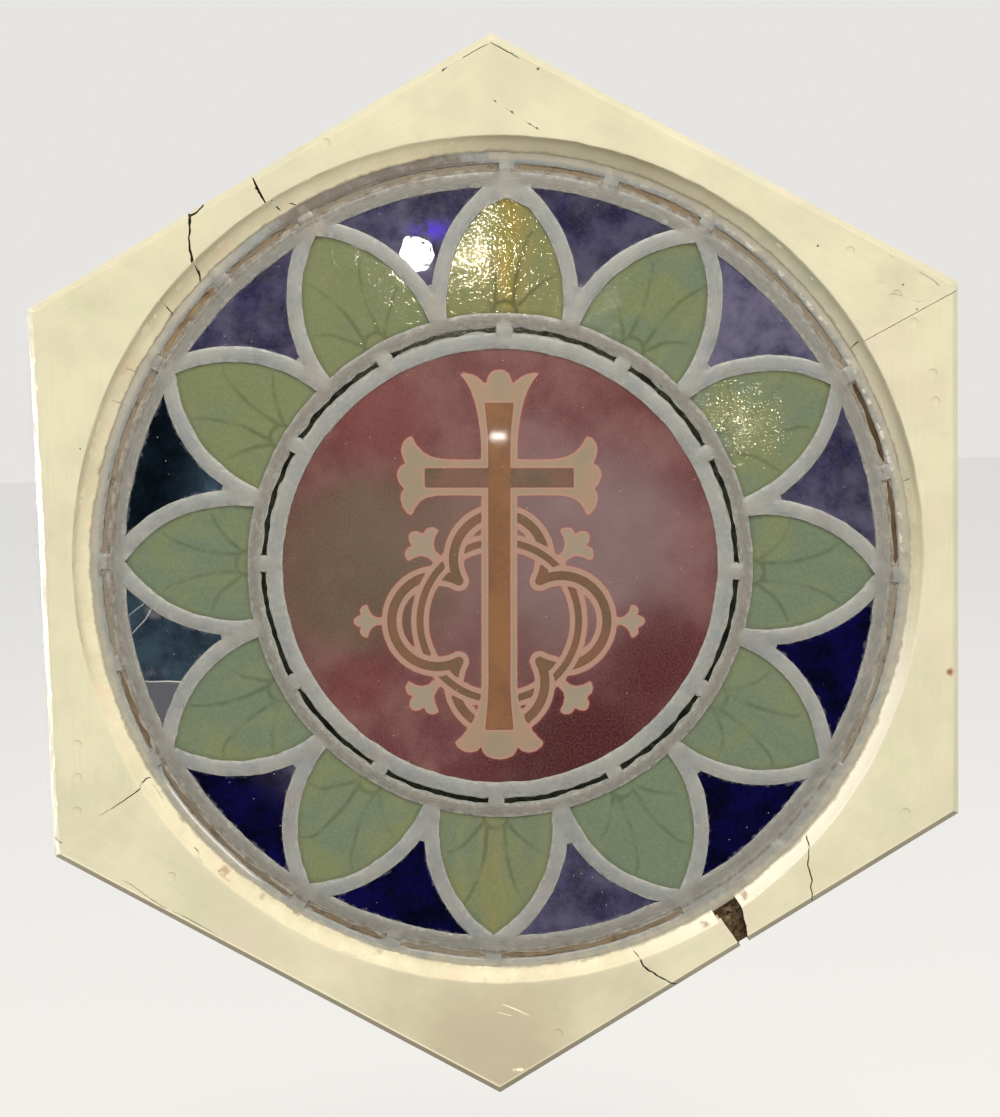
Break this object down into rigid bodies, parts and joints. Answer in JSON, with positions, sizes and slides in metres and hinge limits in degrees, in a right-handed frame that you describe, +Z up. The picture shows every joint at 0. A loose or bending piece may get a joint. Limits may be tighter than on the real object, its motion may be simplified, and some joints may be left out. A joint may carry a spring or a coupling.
{
  "type": "stained glass window",
  "caption": "Hexagonal painted timber window frame round a leaded rose of green petal panes and blue spandrels, with a painted ruby roundel at its centre.",
  "frame": {"origin": "on the flat back of the frame, in the timber between the opening and the top corner, where a wall plate or clip holds the window; 346 mm above the rose's centre", "axes": "+Z up towards the top corner, +Y out of the back of the window, so the painted front faces -Y; +X to the right seen from the front"},
  "size_m": [0.6795, 0.044, 0.7851],
  "materials": {
    "painted_timber": "old cream gloss paint, worn and cracked",
    "backing_timber": "bare dirty softwood, painted on its outer sides",
    "putty": "hard linseed putty, painted over, cracked and chipped",
    "lead": "dull oxidised lead with whitish cement residue",
    "ruby_glass": "mottled maroon glass with fired glass paint",
    "green_glass": "rippled green glass with trace-painted veins",
    "blue_glass": "mottled deep blue glass, dusty",
    "dark_glass": "near-black green glass",
    "amber_glass": "dirty amber glass"
  },
  "bodies": {
    "root": {"facing_top": "painted_timber", "facing_right": "painted_timber", "facing_bottom": "painted_timber", "facing_left": "painted_timber", "backing_ring": "backing_timber", "putty_fillet": "putty", "lead_lattice": "lead", "centre_roundel": "ruby_glass", "petal_01": "green_glass", "petal_02": "green_glass", "petal_03": "green_glass", "petal_04": "green_glass", "petal_05": "green_glass", "petal_06": "green_glass", "petal_07": "green_glass", "petal_08": "green_glass", "petal_09": "green_glass", "petal_10": "green_glass", "petal_11": "green_glass", "petal_12": "green_glass", "spandrel_01": "blue_glass", "spandrel_02": "blue_glass", "spandrel_03": "blue_glass", "spandrel_04": "blue_glass", "spandrel_05": "blue_glass", "spandrel_06": "blue_glass", "spandrel_07": "blue_glass", "spandrel_08": "blue_glass", "spandrel_09": "blue_glass", "spandrel_10": "blue_glass", "spandrel_11": "blue_glass", "spandrel_12": "blue_glass", "inner_strip_01": "dark_glass", "inner_strip_02": "dark_glass", "inner_strip_03": "dark_glass", "inner_strip_04": "dark_glass", "inner_strip_05": "dark_glass", "inner_strip_06": "dark_glass", "inner_strip_07": "dark_glass", "inner_strip_08": "dark_glass", "inner_strip_09": "dark_glass", "inner_strip_10": "dark_glass", "inner_strip_11": "dark_glass", "inner_strip_12": "dark_glass", "border_strip_01": "amber_glass", "border_strip_02": "amber_glass", "border_strip_03": "amber_glass", "border_strip_04": "amber_glass", "border_strip_05": "amber_glass", "border_strip_06": "amber_glass", "border_strip_07": "amber_glass", "border_strip_08": "amber_glass", "border_strip_09": "amber_glass", "border_strip_10": "amber_glass", "border_strip_11": "amber_glass", "border_strip_12": "amber_glass", "border_strip_13": "amber_glass", "border_strip_14": "amber_glass", "border_strip_15": "amber_glass", "border_strip_16": "amber_glass"}
  },
  "joints": []
}
